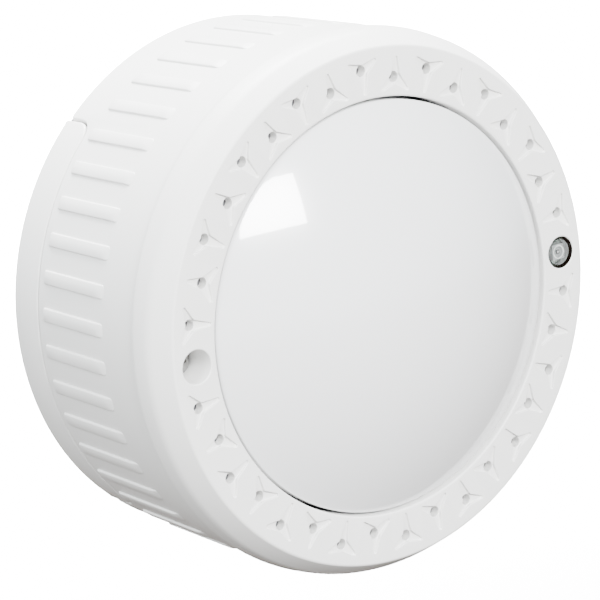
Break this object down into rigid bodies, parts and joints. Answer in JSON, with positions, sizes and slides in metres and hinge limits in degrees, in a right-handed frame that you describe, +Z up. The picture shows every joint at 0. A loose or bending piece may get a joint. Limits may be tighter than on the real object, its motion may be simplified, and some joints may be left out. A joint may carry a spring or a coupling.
{
  "type": "alarm siren",
  "caption": "Round wall-mounted alarm siren with a perforated front ring, a milky strobe dome and a ribbed housing that lifts off its wall base.",
  "frame": {"origin": "centre of the mounting base's flat back, where it meets the wall", "axes": "+Z up as mounted, front faces -Y, +Y into the wall, +X to the right as seen from the front"},
  "size_m": [0.12, 0.0695, 0.12],
  "materials": {
    "white_abs": "fine satin moulding texture",
    "milky_lens": "glossy milky diffuser",
    "inner_abs": "plain moulded",
    "black_rubber": "matte",
    "dark_mesh": "fine woven mesh",
    "clear_cap": "clear polished plastic",
    "board": "solder mask",
    "status_board": "solder mask",
    "led_package": "white package",
    "lead_wire": "soft insulation",
    "cell_wrap": "plain dark wrap",
    "spring_steel": "bright plated",
    "screw_steel": "zinc plated",
    "brass": "bright",
    "siren_abs": "moulded",
    "capacitor_sleeve": "plain sleeve",
    "copper_coil": "enamelled wire",
    "shield_can": "tinned",
    "switch_body": "moulded",
    "plunger_abs": "moulded"
  },
  "bodies": {
    "base": {"mounting_base": "white_abs", "threaded_insert": "brass"},
    "head": {"front_ring": "white_abs", "strobe_dome": "milky_lens", "dome_seal": "black_rubber", "sound_mesh": "dark_mesh", "status_lens": "clear_cap", "status_board": "status_board", "status_led": "led_package", "status_leads": "lead_wire", "main_housing": "white_abs", "strobe_board": "board", "strobe_leds": "led_package", "strobe_leads": "lead_wire", "rear_cover": "inner_abs", "battery_cells": "cell_wrap", "battery_springs": "spring_steel", "battery_plates": "spring_steel", "main_board": "board", "siren_cup": "siren_abs", "piezo_disc": "brass", "storage_capacitor": "capacitor_sleeve", "drive_coil": "copper_coil", "radio_module": "shield_can", "antenna_coil": "brass", "tamper_switch": "switch_body", "learn_switch": "switch_body", "ring_screws": "screw_steel", "cover_screws": "screw_steel", "main_board_screws": "screw_steel", "strobe_board_screws": "screw_steel", "screw_washer": "black_rubber", "tamper_spring": "spring_steel"},
    "lock_screw": {"lock_screw": "screw_steel", "retaining_ring": "spring_steel"},
    "tamper_plunger": {"tamper_plunger": "plunger_abs"},
    "learn_button": {"learn_button": "plunger_abs"}
  },
  "joints": [
    {"name": "head_lift_off", "type": "slide", "parent": "base", "child": "head", "axis": [0, -1, 0], "range_m": [0, 0.07]},
    {"name": "lock_screw_turn", "type": "hinge", "parent": "head", "child": "lock_screw", "pos_m": [-0.0508, -0.03, 0], "axis": [0, 1, 0], "continuous": true},
    {"name": "tamper_press", "type": "slide", "parent": "head", "child": "tamper_plunger", "axis": [0, -1, 0], "range_m": [0, 0.0015], "stiffness_N_per_m": 300, "deforming": ["tamper_spring"]},
    {"name": "learn_press", "type": "slide", "parent": "head", "child": "learn_button", "axis": [0, -1, 0], "range_m": [0, 0.0005], "stiffness_N_per_m": 800}
  ]
}
